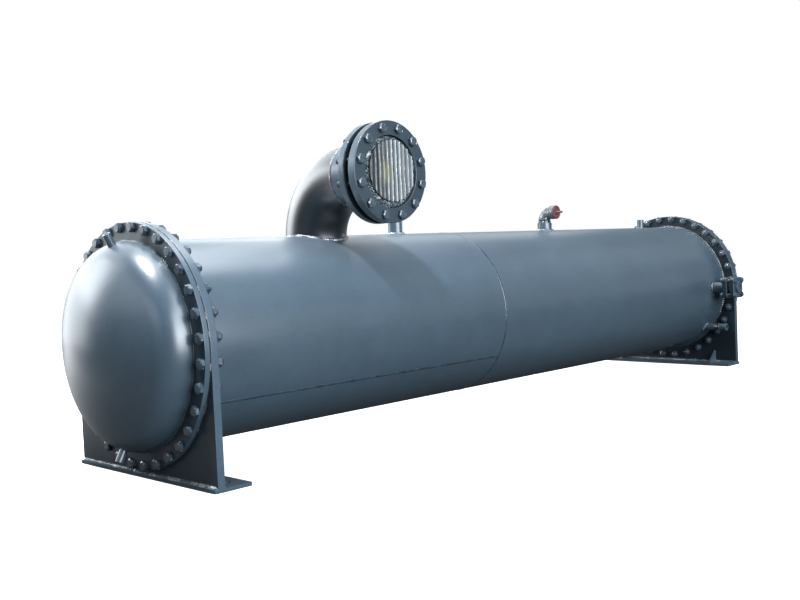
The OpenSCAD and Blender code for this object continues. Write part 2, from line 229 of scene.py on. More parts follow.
def slab(outline, thick, edge, origin, across, up):
    """A plate with rounded rims from a convex outline drawn against the clock.

    At angle a around a rim the outline is drawn in by edge * (1 - sin a) and raised by edge * (1 - cos a);
    fans to the outline's middle close both faces.
    """
    outline = np.asarray(outline, float)
    before = unit(outline - np.roll(outline, 1, axis=0))
    after = unit(np.roll(outline, -1, axis=0) - outline)
    left_before = np.stack([-before[:, 1], before[:, 0]], axis=1)
    left_after = np.stack([-after[:, 1], after[:, 0]], axis=1)
    inward = (left_before + left_after) / (1 + (left_before * left_after).sum(1, keepdims=True))
    a = np.linspace(0, math.pi / 2, 5)
    rim_in = edge * (1 - np.sin(a))
    rim_up = edge * (1 - np.cos(a))
    inset = np.concatenate([[edge + HOLD], rim_in, [0, 0], rim_in[::-1], [edge + HOLD]])
    level = np.concatenate([[0], rim_up, [edge + HOLD, thick - edge - HOLD], thick - rim_up[::-1], [thick]])
    flat = outline + inset[:, None, None] * inward
    centre = np.broadcast_to(outline.mean(0), (1,) + outline.shape)
    flat = np.concatenate([centre, flat, centre])
    level = np.concatenate([[0], level, [thick]])
    out = np.cross(across, up)
    points = origin + flat[..., :1] * across + flat[..., 1:] * up + level[:, None, None] * out
    return grid(points, False, True)


def wander(along, length, seed, waves=7):
    """A smooth random value about nought: sines of whole waves in the length with seeded phases."""
    rng = np.random.default_rng(seed)
    count = rng.integers(2, 40, waves)
    phase = rng.uniform(0, TURN, waves)
    return np.sin(TURN * count * along[..., None] / length + phase).mean(-1)


def bead(path, out, side, width, height, pitch, seed, closed=True, rough=0.16):
    """A weld bead: an oval carried along a path and swelling at each ripple.

    At angle p the oval is side * width / 2 * cos p + out * height * sin p, times
    1 + rough * |sin(pi * (s / pitch + cos p / 4))| and a slow wander along the length s.
    """
    step = np.linalg.norm(np.roll(path, -1, axis=0) - path, axis=1)
    s = np.concatenate([[0], np.cumsum(step)[:-1]])
    length = step.sum() if closed else s[-1]
    pitch = length / max(1, round(length / pitch))
    p = angles(10)
    ripple = np.abs(np.sin(math.pi * (s[:, None] / pitch + np.cos(p) / 4)))
    swell = 1 + rough * ripple + rough * wander(s, length, seed)[:, None]
    if not closed:
        from_end = np.minimum(s, length - s) / width
        swell = swell * np.sqrt(np.clip(from_end, 0, 1))[:, None]
    oval_side = np.cos(p) * width / 2 * swell
    oval_out = np.sin(p) * height * swell
    points = path[:, None] + oval_side[..., None] * side[:, None] + oval_out[..., None] * out[:, None]
    return grid(points, closed, True)


def circle_bead(centre, axis, radius, lean, width, height, pitch, seed, rough=0.16):
    """A bead around a circle; lean turns its crown from outwards (0) towards the axis (a quarter turn)."""
    radial = spokes(axis, angles(int(TURN * radius / pitch * RIPPLE_STEPS)))
    axis = unit(axis)
    out = math.cos(lean) * radial + math.sin(lean) * axis
    side = -math.sin(lean) * radial + math.cos(lean) * axis
    return bead(centre + radius * radial, out, side, width, height, pitch, seed, True, rough)


def line_bead(start, stop, out, width, height, pitch, seed, rough=0.16):
    """A bead along a straight joint."""
    start, stop = np.asarray(start, float), np.asarray(stop, float)
    count = int(np.linalg.norm(stop - start) / pitch * RIPPLE_STEPS) + 2
    path = start + np.linspace(0, 1, count)[:, None] * (stop - start)
    out = np.broadcast_to(unit(out), path.shape)
    side = np.cross(unit(stop - start), out)
    return bead(path, out, side, width, height, pitch, seed, False, rough)


def saddle_bead(along, offset, radius, width, pitch, seed, rough=0.2, cross=Y_AXIS, up=Z_AXIS):
    """A bead where a round stub that points up meets the shell.

    At angle t the joint is at along + r cos t on the shell's axis and at c = offset + r sin t across it,
    and as far out as the shell there, sqrt(R^2 - c^2).
    """
    t = angles(int(TURN * radius / pitch * RIPPLE_STEPS))
    c = offset + radius * np.sin(t)
    rise = np.sqrt(SHELL_R**2 - c**2)
    from_axis = c[:, None] * cross + rise[:, None] * up
    path = AXIS_POINT + (along + radius * np.cos(t))[:, None] * X_AXIS + from_axis
    from_stub = np.cos(t)[:, None] * X_AXIS + np.sin(t)[:, None] * cross
    out = unit(from_stub + from_axis / SHELL_R)
    tangent = unit(np.roll(path, -1, axis=0) - np.roll(path, 1, axis=0))
    return bead(path, out, np.cross(tangent, out), width, width / 2, pitch, seed, True, rough)


def pipe(path, normal, binormal, radius, around=48):
    """A round solid along a path: path + r * (cos t * normal + sin t * binormal), shut at both its ends."""
    t = angles(around)
    ring = np.cos(t)[:, None] * normal[:, None] + np.sin(t)[:, None] * binormal[:, None]
    return grid(path[:, None] + radius[:, None, None] * ring, False, True)


def hexagon(flats, height, around=24):
    """A hexagon's body along +Z.

    Its radius at an angle is half the flats over the cosine from the flat's middle, and a cone of 30 degrees
    takes the corners off its top.
    """
    t = angles(around)
    from_flat = (t + math.pi / 6) % (math.pi / 3) - math.pi / 6
    wide = flats / 2 / np.cos(from_flat)
    crown = np.full(around, 0.40 * flats)
    drop = (wide - crown) * math.tan(math.radians(30))
    zero = np.zeros(around)
    out = np.stack([zero, wide, wide, crown, zero])
    level = np.stack([zero, zero, height - drop, zero + height, zero + height])
    return np.stack([out * np.cos(t), out * np.sin(t), level], axis=-1)


def turned(profile, around=16):
    """A small turned shape along +Z from (out, along) pairs."""
    t = angles(around)
    profile = np.asarray(profile, float)
    out, level = profile[:, :1], profile[:, 1:]
    return np.stack([out * np.cos(t), out * np.sin(t), level + 0 * t], axis=-1)


def rod(radius, long, around):
    """A plain round bar along +Z."""
    return turned([(0, 0), (radius, 0), (radius, long), (0, long)], around)


def stud_end(radius, low, high):
    """A threaded end: the radius steps in and out by a tenth along it, and a rounded tip shuts it."""
    level = np.linspace(low, high - radius / 4, 9)
    out = radius * np.where(np.arange(9) % 2, 0.88, 1.0)
    tip = [(radius * 0.7, high - radius / 12), (0, high)]
    return turned([(0, low)] + list(zip(out, level)) + tip, 12)


def scattered(shape, seats, axis, spins):
    """Copies of a small shape, each turned about its own axis by its spin and stood on its seat."""
    first, second = side_axes(axis)
    cos, sin = np.cos(spins)[:, None], np.sin(spins)[:, None]
    across = cos * first + sin * second
    up = cos * second - sin * first
    flat = shape.reshape(-1, 3)
    points = (
        seats[:, None]
        + flat[None, :, :1] * across[:, None]
        + flat[None, :, 1:2] * up[:, None]
        + flat[None, :, 2:] * unit(axis)
    )
    faces = grid(shape, False, True)[1]
    steps = np.arange(len(seats)) * len(flat)
    return points.reshape(-1, 3), (faces[None] + steps[:, None, None]).reshape(-1, 4)


def circle_seats(centre, axis, radius, count):
    """Evenly spaced points on a circle that straddle the first side axis."""
    return centre + radius * spokes(axis, (np.arange(count) + 0.5) * TURN / count)


def add_piece(name, parts, look, node=None, crease=CREASE):
    """Makes one object of the parts, welds its seams, turns its faces outwards and puts it on the frame.

    It has the look's finish, and takes the place of a CAD node if one is named.
    """
    points, faces = joined(parts)
    mesh = bpy.data.meshes.new(name)
    mesh.vertices.add(len(points))
    mesh.vertices.foreach_set("co", points.astype(np.float32).ravel())
    mesh.loops.add(faces.size)
    mesh.loops.foreach_set("vertex_index", faces.astype(np.int32).ravel())
    mesh.polygons.add(len(faces))
    mesh.polygons.foreach_set("loop_start", np.arange(0, faces.size, 4, dtype=np.int32))
    mesh.update(calc_edges=True)
    shape = bmesh.new()
    shape.from_mesh(mesh)
    bmesh.ops.remove_doubles(shape, verts=shape.verts, dist=SAME_POINT)
    bmesh.ops.recalc_face_normals(shape, faces=shape.faces)
    shape.to_mesh(mesh)
    shape.free()
    mesh.polygons.foreach_set("use_smooth", np.ones(len(mesh.polygons), bool))
    mesh.set_sharp_from_angle(angle=math.radians(crease))
    mesh.materials.append(finish(look))
    piece = bpy.data.objects.new(name, mesh)
    bpy.context.scene.collection.objects.link(piece)
    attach(piece, BODY)
    if node:
        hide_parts(node)


# Finishes


class Wire:
    """An output socket that takes Python's arithmetic: each operator adds one Math node to its tree."""

    def __init__(self, sheet, socket):
        self.sheet = sheet
        self.socket = socket

    def math(self, operation, *terms):
        return self.sheet.add("ShaderNodeMath", {"operation": operation}, dict(enumerate(terms)))

    def __add__(self, other):
        return self.math("ADD", self, other)

    def __radd__(self, other):
        return self.math("ADD", other, self)

    def __sub__(self, other):
        return self.math("SUBTRACT", self, other)

    def __rsub__(self, other):
        return self.math("SUBTRACT", other, self)

    def __mul__(self, other):
        return self.math("MULTIPLY", self, other)

    def __rmul__(self, other):
        return self.math("MULTIPLY", other, self)

    def between(self, low, high):
        """Nought below low, one above high and a smooth step from one to the other."""
        settings = {"interpolation_type": "SMOOTHSTEP"}
        inputs = {"Value": self, "From Min": low, "From Max": high}
        return self.sheet.add("ShaderNodeMapRange", settings, inputs)


class Sheet:
    """The node tree of a material, the world or a lamp."""

    def __init__(self, owner):
        owner.use_nodes = True
        self.tree = owner.node_tree
        self.tree.nodes.clear()

    def add(self, kind, settings, inputs, output=0):
        """Adds any node: its settings first, then values or links for its sockets; gives one output."""
        node = self.tree.nodes.new(kind)
        for key, value in settings.items():
            setattr(node, key, value)
        for key, value in inputs.items():
            if isinstance(value, Wire):
                self.tree.links.new(value.socket, node.inputs[key])
            else:
                node.inputs[key].default_value = value
        return Wire(self, node.outputs[output]) if len(node.outputs) else None

    def place(self, stretch=(1, 1, 1)):
        """Object coordinates, which are metres in the CAD frame, stretched along each axis."""
        where = self.add("ShaderNodeTexCoord", {}, {}, "Object")
        return self.add("ShaderNodeVectorMath", {"operation": "MULTIPLY"}, {0: where, 1: stretch})

    def noise(self, place, scale, detail):
        """Fractal noise about a half, with so many waves in a metre."""
        inputs = {"Vector": place, "Scale": scale, "Detail": detail}
        return self.add("ShaderNodeTexNoise", {}, inputs)

    def mix(self, low, high, factor):
        """Colour low where the factor is nought and high where it is one."""
        return self.add("ShaderNodeMix", {"data_type": "RGBA"}, {0: factor, 6: low, 7: high}, 2)

    def part(self, vector, axis):
        """One of a vector's three parts."""
        return self.add("ShaderNodeSeparateXYZ", {}, {0: vector}, axis)

    def facing(self, axis):
        """How far the surface faces along an axis of the frame, from -1 to 1."""
        return self.part(self.add("ShaderNodeNewGeometry", {}, {}, "Normal"), axis)

    def bump(self, height, strength):
        """The normal of a surface raised by a height."""
        inputs = {"Height": height, "Strength": strength, "Distance": BUMP_HEIGHT}
        return self.add("ShaderNodeBump", {}, inputs)

    def ray(self, output):
        """One for rays of a kind, nought for the rest."""
        return self.add("ShaderNodeLightPath", {}, {}, output)

    def mirrored(self):
        """One for rays that were reflected or let through, nought for the rest."""
        return self.ray("Is Glossy Ray") + self.ray("Is Transmission Ray")

    def surface(self, inputs):
        """The Principled shader with these sockets, on the material's output."""
        shader = self.add("ShaderNodeBsdfPrincipled", {}, inputs)
        self.add("ShaderNodeOutputMaterial", {}, {"Surface": shader})


def shade(colour, factor=1.0):
    """A colour with four parts, darkened or lightened."""
    return tuple(min(1.0, part * factor) for part in colour[:3]) + (1.0,)


class Coat(NamedTuple):
    """One way of laying the enamel on.

    Depth scales its colour: below one it is painted shade and above one painted light. end_shading does the
    same where the surface faces along the shell. Gloss is its specular level and rough scales its roughness.
    Highlight_coat is the weight of a clear coat laid only on the sides of a pipe as a painted highlight. A
    pipe with it keeps the shell's colour at its back, away from the nozzle, while depth darkens its front as
    painted shade.
    """

    depth: float
    end_shading: float
    gloss: float
    rough: float = 1.0
    highlight_coat: float = 0.0


def painted(coat, sheet, place, paint):
    """Blue-grey enamel: mottled, faintly peeled like an orange, dusty where it faces up, and darkened or
    lightened by its coat as painted shade and light.
    """
    broad = sheet.noise(place, 1.7, 2)
    blotch = sheet.noise(place, 11, 2)
    fine = sheet.noise(place, 85, 2)
    tone = (0.40 * broad + 0.30 * blotch + 0.30 * fine).between(0.3, 0.7)
    dust = sheet.facing("Z").between(0.3, 1.0)
    along = sheet.facing("X")
    back = sheet.facing("Y")

    def mottled(depth):
        return sheet.mix(shade(paint.colour, 0.88 * depth), shade(paint.colour, 1.12 * depth), tone)

    colour = mottled(coat.depth)
    # Painted shade and light: surfaces facing along the shell take their own darker or lighter colour
    if coat.end_shading != coat.depth:
        colour = sheet.mix(colour, mottled(coat.end_shading), (along * along).between(0.3, 0.95))
    # Painted shade: a pipe's front keeps the darkened colour and only its back gets the shell's colour
    if coat.highlight_coat:
        colour = sheet.mix(colour, mottled(1.0), back.between(0.1, 0.6))
    cover = dust * (0.7 + 0.6 * (broad - 0.5)) * paint.dust_amount
    return {
        "Base Color": sheet.mix(colour, shade(paint.dust), cover),
        "Roughness": coat.rough * paint.roughness + 0.03 * (blotch - 0.5) + 0.05 * dust,
        "Specular IOR Level": coat.gloss,
        "Specular Tint": shade(paint.sheen),
        # Painted highlight: the clear coat lies only on the sides of a pipe, not on its front or back
        "Coat Weight": coat.highlight_coat * back.between(-0.35, 0.20) * (1 - back.between(0.35, 0.80)),
        "Coat Roughness": 0.42,
        "Coat IOR": 2.4,
        "Normal": sheet.bump(fine, 0.03),
    }


def weld_enamel(sheet, place, paint):
    """Enamel over weld beads: glossier than the plates, with grit in it, and darker than the plates, partly
    as painted shade in the joints.
    """
    grit = sheet.noise(place, 420, 3)
    patch = sheet.noise(place, 40, 3).between(0.3, 0.7)
    return {
        "Base Color": sheet.mix(shade(paint.colour, 0.35), shade(paint.colour, 0.85), patch),
        "Roughness": 0.20 + 0.14 * grit,
        "Specular IOR Level": 1.0,
        "Normal": sheet.bump(grit, 0.3),
    }


def bare_weld(sheet, place, paint):
    """Weld beads that show silver through thin paint, in patches along the bead."""
    grit = sheet.noise(place, 420, 3)
    patch = sheet.noise(place, 30, 3).between(0.46, 0.60)
    return {
        "Base Color": sheet.mix(shade(paint.colour, 0.9), shade(paint.weld), patch * (0.35 + 0.6 * grit)),
        "Metallic": 0.7 * patch,
        "Roughness": 0.20 + 0.16 * grit,
        "Specular IOR Level": 1.0,
        "Normal": sheet.bump(grit, 0.3),
    }


def bolt_enamel(sheet, place, paint):
    """Enamel on bolts: thin and thick in blotches, with small bare chips."""
    blotch = sheet.noise(place, 60, 3)
    chip = sheet.noise(place, 240, 2).between(0.66, 0.72)
    colour = sheet.mix(shade(paint.colour, 0.6), shade(paint.colour, 1.0), blotch.between(0.3, 0.7))
    return {
        "Base Color": sheet.mix(colour, shade(paint.weld), chip * 0.6),
        "Roughness": 0.18 + 0.12 * blotch,
        "Specular IOR Level": 1.0,
        "Normal": sheet.bump(blotch, 0.25),
    }


def gasket_sheet(sheet, place, paint):
    """Pressed gasket sheet: near black, with pale scraped chips along its rough edge."""
    grain = sheet.noise(place, 260, 3)
    chip = sheet.noise(place, 34, 4).between(0.56, 0.64)
    colour = sheet.mix(shade(paint.gasket, 0.7), shade(paint.gasket, 1.6), grain)
    return {
        "Base Color": sheet.mix(colour, shade(paint.chip), chip * grain.between(0.35, 0.6)),
        "Roughness": 0.75 + 0.15 * grain,
        "Normal": sheet.bump(grain, 0.5),
    }


def zinc_coat(sheet, place, paint):
    """Zinc plating: spangled bright and dull, and streaked."""
    spangle = sheet.noise(place, 60, 3)
    streak = sheet.noise(sheet.place((1, 1, 0.25)), 90, 2)
    return {
        "Base Color": sheet.mix(shade(paint.zinc, 0.5), shade(paint.zinc, 1.5), spangle.between(0.35, 0.65)),
        "Metallic": 0.7,
        "Roughness": 0.12 + 0.16 * streak,
        "Normal": sheet.bump(spangle, 0.12),
    }


def plug_plastic(sheet, place, paint):
    """Moulded red plastic, faded in patches."""
    faded = sheet.noise(place, 70, 3)
    return {
        "Base Color": sheet.mix(shade(paint.plug, 0.8), shade(paint.plug, 1.25), faded.between(0.3, 0.7)),
        "Roughness": 0.42 + 0.15 * faded,
        "Normal": sheet.bump(faded, 0.15),
    }


def cover_film(sheet, place, paint):
    """Silvery film with painted light and shade: painted shade in the folds, painted highlights on the
    ridges, painted shade over its left part, and yellowed in one place.
    """
    cover = bpy.context.scene.exchanger_cover
    x = sheet.part(place, "X")
    z = sheet.part(place, "Z")
    stand = sheet.part(place, "Y") * -1.0
    mid_x, _, mid_z = NOZZLE
    crease = sheet.noise(sheet.place((1, 1, 0.10)), 130, 3)
    streak = sheet.noise(sheet.place((1, 0, 0.05)), 70, 2)
    # Painted shade: side is nought over the film's left part, which stays dark
    side = x.between(mid_x - 0.075, mid_x + 0.025)
    # Painted shade in the folds and painted highlights on the ridges, set by how far the film stands forward;
    # the streak noise varies the highlights from ridge to ridge
    slope = stand.between(cover.fold + 0.08 * cover.depth, cover.fold + 0.52 * cover.depth)
    crest = stand.between(cover.fold + 0.52 * cover.depth, cover.fold + 0.88 * cover.depth)
    painted_ridge_highlight = crest * (0.22 + 0.40 * side + 1.3 * (streak - 0.45))
    stain = x.between(mid_x - 0.050, mid_x - 0.038) * (1 - x.between(mid_x - 0.012, mid_x - 0.002))
    stain = stain * z.between(mid_z - 0.05, mid_z - 0.01) * (1 - z.between(mid_z + 0.01, mid_z + 0.05))
    colour = sheet.mix(shade(paint.film_shade, 0.18), shade(paint.film, 0.46), slope * (0.10 + 0.90 * side))
    colour = sheet.mix(colour, shade(paint.film, 1.5), painted_ridge_highlight)
    return {
        "Base Color": sheet.mix(colour, shade(paint.stain), stain * (0.25 + 0.4 * crest)),
        "Metallic": 0.1,
        "Roughness": 0.22 + 0.16 * crease,
        "Normal": sheet.bump(crease, 0.2),
    }


def crumpled_film(sheet, place, paint):
    """Clear film creased over the dark opening: dull blue-grey as painted shade for the opening seen through
    it, with painted glints, and lighter and darker creases as painted shading.
    """
    crease = sheet.noise(place, 95, 3)
    # Painted glints on random creases; painted shading makes the creases lighter and darker by the noise that
    # bumps them
    painted_glint = sheet.noise(place, 40, 2).between(0.60, 0.68)
    tone = crease.between(0.35, 0.65)
    colour = sheet.mix(shade(paint.film_shade, 0.6), shade(paint.film_shade, 1.5), tone)
    return {
        "Base Color": sheet.mix(colour, shade(paint.film, 1.3), painted_glint),
        "Metallic": 0.25,
        "Roughness": 0.10 + 0.14 * crease,
        "Normal": sheet.bump(crease, 0.4),
    }


# Each finish gives the sockets of its shader; the first five are coats of one paint, four of them darkened or
# lightened by part and by facing as painted shade and light
FINISHES = {
    "enamel": partial(painted, Coat(1.0, 1.0, 1.0)),
    "end_shaded_enamel": partial(painted, Coat(1.10, 0.42, 0.60)),
    "far_shaded_enamel": partial(painted, Coat(0.85, 0.20, 0.48)),
    "ring_enamel": partial(painted, Coat(0.58, 1.10, 0.70)),
    "pipe_shaded_enamel": partial(painted, Coat(0.22, 0.10, 0.75, 1.1, 0.60)),
    "weld_enamel": weld_enamel,
    "bare_weld": bare_weld,
    "bolt_enamel": bolt_enamel,
    "gasket_sheet": gasket_sheet,
    "zinc_coat": zinc_coat,
    "plug_plastic": plug_plastic,
    "cover_film": cover_film,
    "crumpled_film": crumpled_film,
}


def finish(name):
    """The material of a finish, made the first time it is asked for."""
    material = bpy.data.materials.get(name)
    if material is None:
        material = bpy.data.materials.new(name)
        sheet = Sheet(material)
        sheet.surface(FINISHES[name](sheet, sheet.place(), bpy.context.scene.exchanger_paint))
    return material


def number(label, text, default, **kind):
    """A number setting."""
    return FloatProperty(name=label, description=text, default=default, **kind)


length = partial(number, subtype="DISTANCE", unit="LENGTH", precision=4)
angle = partial(number, subtype="ANGLE")
fraction = partial(number, subtype="FACTOR")


def colour(label, text, default):
    """A colour setting."""
    return FloatVectorProperty(name=label, description=text, default=default, subtype="COLOR", min=0, max=1)


class ExchangerPaint(PropertyGroup):
    """Colours and gloss of the finishes."""

    colour: colour("Enamel", "Colour of the paint on plates, shell and pipes", (0.045, 0.075, 0.105))
    sheen: colour("Sheen", "Tint of what the enamel reflects", (0.92, 0.96, 1.0))
    dust: colour("Dust", "Colour of the dust on what faces up", (0.30, 0.31, 0.31))
    weld: colour("Weld", "Colour of bare weld metal through the paint", (0.52, 0.55, 0.60))
    gasket: colour("Gasket", "Colour of the gasket sheet", (0.012, 0.014, 0.016))
    chip: colour("Chips", "Colour of scraped chips on the gasket's edge", (0.42, 0.36, 0.32))
    zinc: colour("Zinc", "Colour of the plated fitting", (0.14, 0.165, 0.18))
    plug: colour("Plug", "Colour of the plastic plug", (0.105, 0.040, 0.043))
    # Painted light and shade on the cover: the ridges lighten film into painted highlights, and film_shade is
    # the painted shade in the folds and the darkening of the rim film over the opening behind it
    film: colour("Film", "Colour of the cover's ridges", (0.47, 0.535, 0.575))
    film_shade: colour("Film shade", "Colour of the cover's folds and of its rim", (0.075, 0.100, 0.120))
    stain: colour("Stain", "Colour of the yellowed part of the cover", (0.42, 0.40, 0.19))
    roughness: fraction("Roughness", "Roughness of the enamel", 0.30)
    dust_amount: fraction("Dust amount", "Cover of the dust", 0.16)


class ExchangerHeads(PropertyGroup):
    """Sizes of the dished heads."""

    knuckle: length("Knuckle", "Radius of the bend at a head's rim", 0.105)
    wall: length("Wall", "Thickness of a head", 0.010)


class ExchangerBolts(PropertyGroup):
    """Sizes of the bolts and nuts."""

    flats: length("Across flats", "Width of the flange bolts' hexagons", 0.030)
    head: length("Head height", "Height of a bolt's head", 0.0125)
    nut: length("Nut height", "Height of a nut", 0.016)
    stud: length("Thread radius", "Radius of the bolts' threads", 0.010)
    proud: length("Thread end", "Thread past the nut", 0.008)
    head_count: IntProperty(name="Head bolts", description="Bolts around each head", default=32)
    head_inset: length("Head bolt inset", "Distance from the rim to the head's bolt circle", 0.015)
    nozzle_count: IntProperty(name="Nozzle bolts", description="Bolts around the nozzle", default=12)
    nozzle_circle: length("Nozzle bolt circle", "Radius of the nozzle's bolt circle", 0.1475)
    nozzle_proud: length("Nozzle thread end", "Thread past the nozzle's nuts", 0.014)
    outlet_flats: length("Outlet flats", "Width of the outlet bolts' hexagons", 0.024)
    outlet_spacing: length("Outlet spacing", "Distance between the outlet's bolts", 0.072)


class ExchangerWelds(PropertyGroup):
    """Sizes of the weld beads."""

    pitch: length("Ripple", "Length of one ripple of a bead", 0.008)
    fillet: length("Fillet", "Width of the beads between plates and shell", 0.015)
    seam: length("Seam", "Width of the seams in the shell", 0.008)
    seam_rise: length("Seam rise", "Height of the seams over the shell", 0.0010)
    seam_drop: angle("Seam angle", "Long seam below the horizontal", math.radians(31.5))
    foot: length("Foot bead", "Width of the beads between plates and feet", 0.013)


class ExchangerCover(PropertyGroup):
    """Sizes of the pleated cover in the nozzle's ring."""

    window: length("Window", "Radius of the ring's opening", 0.121)
    pitch: length("Pleat pitch", "Distance between ridges", 0.0195)
    depth: length("Pleat depth", "Height of the ridges over the folds", 0.010)
    radius: length("Pleated radius", "Radius of the pleated part", 0.1070)
    lift: length("Lift", "Height of the pleated part's middle over the nozzle's axis", 0.003)
    fold: length("Fold plane", "Distance of the folds from the shell's middle plane", 0.3920)
    rim: length("Film rim", "Radius of the crumpled film around the pleats", 0.1185)
    rim_fold: length("Film plane", "Distance of the film's rim from the shell's middle plane", 0.3840)


class ExchangerStage(PropertyGroup):
    """Camera, floor and lamps."""

    place: FloatVectorProperty(
        name="Camera", description="Place of the camera", default=(-3.2641, -2.69137, 0.66181), subtype="XYZ"
    )
    yaw: angle("Yaw", "Camera's turn from +Y", 0.8021)
    pitch: angle("Pitch", "Camera's tilt down", 0.0485)
    roll: angle("Roll", "Camera's lean", -0.0438)
    lens: number("Lens", "Focal length for a 36 mm sensor", 44.39, unit="CAMERA")
    floor: colour("Floor", "Colour of the floor", (0.90, 0.90, 0.90))


# Operators


# CAD nodes that are shown as they are, by their finish
SHOWN_NODES = {
    "enamel": (
        "shell_near_course", "shell_far_course", "nozzle_neck", "near_foot_plate", "far_foot_plate",
        "near_gussets", "far_gussets", "crown_socket", "relief_socket", "vent_nipple", "drain_socket",
        "near_head_vent", "far_head_vent", "near_head_drain", "far_head_drain",
    ),
    # Painted shade: the elbow's coat is darkened on its front, and the outlet stub's coat is darkened at its
    # ends
    "pipe_shaded_enamel": ("nozzle_elbow",),
    "end_shaded_enamel": ("outlet_stub",),
}


class EXCHANGER_OT_vessel(Operator):
    """Paint the shell, the pipes, the sockets and the feet, which keep their CAD shapes"""

    bl_idname = "exchanger.vessel"
    bl_label = "Paint vessel"

    def execute(self, context):
        for look, names in SHOWN_NODES.items():
            for name in names:
                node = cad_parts[name]
                if node.material_slots:
                    node.material_slots[0].material = finish(look)
                else:
                    node.data.materials.append(finish(look))
        return {"FINISHED"}


class EXCHANGER_OT_heads(Operator):
    """Make the dished heads as thin turned shells"""

    bl_idname = "exchanger.heads"
    bl_label = "Dished heads"

    def execute(self, context):
        size = context.scene.exchanger_heads
        low, high = extent("far_dished_head")
        skirt, apex = low[0], high[0]
        outer = dish_arc(HEAD_OUT, apex, SHELL_R, size.knuckle)
        inner = dish_arc(HEAD_OUT, apex - size.wall, SHELL_R - size.wall, size.knuckle - size.wall)
        ends = [(SHELL_R - size.wall, skirt), (SHELL_R, skirt)]
        section = np.concatenate([inner, ends, outer[::-1]])
        for name, side in ENDS:
            dish = lathe(section, AXIS_POINT, side * X_AXIS, 192, False)
            add_piece(f"{name}_dish", [dish], "enamel", f"{name}_dished_head")
        return {"FINISHED"}


class EXCHANGER_OT_end_plates(Operator):
    """Make the tube plates, head flanges and gaskets with rounded rims"""

    bl_idname = "exchanger.end_plates"
    bl_label = "End plates"

    def execute(self, context):
        t = np.linspace(0, math.pi, 97)
        arch = np.stack([PLATE_R * np.cos(t), AXIS_Z + PLATE_R * np.sin(t)], axis=1)
        base = np.array([(-PLATE_R, PLATE_FOOT), (PLATE_R, PLATE_FOOT)])
        outline = np.concatenate([arch, base])
        # Painted shade: both plates are darker where they face along the shell, and the far plate is darkest
        coats = {"near": "end_shaded_enamel", "far": "far_shaded_enamel"}
        for name, side in ENDS:
            axis = side * X_AXIS
            plate = slab(outline, PLATE_OUT - PLATE_IN, EDGE, PLATE_IN * axis, side * Y_AXIS, Z_AXIS)
            add_piece(f"{name}_plate", [plate], coats[name], f"{name}_tube_plate")
            flange = lathe(ring_profile(SHELL_R, PLATE_R, HEAD_IN, HEAD_OUT, EDGE), AXIS_POINT, axis, 192)
            add_piece(f"{name}_flange", [flange], "end_shaded_enamel", f"{name}_head_flange")
            add_piece(f"{name}_joint", [self.rough_ring(axis)], "gasket_sheet", f"{name}_gasket")
        return {"FINISHED"}

    @staticmethod
    def rough_ring(axis):
        """A flat ring whose outer radius wanders about the plate's by a millimetre."""
        t = angles(720)
        edge = PLATE_R + 0.0001 + 0.0016 * wander(t, TURN, 5, 24)
        inner = np.full_like(t, SHELL_R)
        out = np.stack([inner, edge, edge + 0.0004, edge, inner])
        along = np.array([PLATE_OUT, PLATE_OUT, (PLATE_OUT + HEAD_IN) / 2, HEAD_IN, HEAD_IN])
        points = AXIS_POINT + out[..., None] * spokes(axis, t) + along[:, None, None] * unit(axis)
        return grid(points, True, True)


class EXCHANGER_OT_head_bolts(Operator):
    """Bolt the dished heads to the tube plates, heads outside and nuts on the shell's side"""

    bl_idname = "exchanger.head_bolts"
    bl_label = "Head bolts"

    def execute(self, context):
        size = context.scene.exchanger_bolts
        rng = np.random.default_rng(11)
        head = hexagon(size.flats, size.head)
        nut = hexagon(size.flats, size.nut)
        end = stud_end(size.stud, size.nut - NUT_OVERLAP, size.nut + size.proud)
        radius = PLATE_R - size.head_inset
        for name, side in ENDS:
            axis = side * X_AXIS
            spins = rng.uniform(0, TURN, size.head_count)
            turns = rng.uniform(0, TURN, size.head_count)
            outside = circle_seats(AXIS_POINT + HEAD_OUT * axis, axis, radius, size.head_count)
            inside = circle_seats(AXIS_POINT + PLATE_IN * axis, axis, radius, size.head_count)
            parts = [
                scattered(head, outside, axis, spins),
                scattered(nut, inside, -axis, turns),
                scattered(end, inside, -axis, turns),
            ]
            add_piece(f"{name}_head_bolts", parts, "bolt_enamel", crease=BOLT_CREASE)
        return {"FINISHED"}


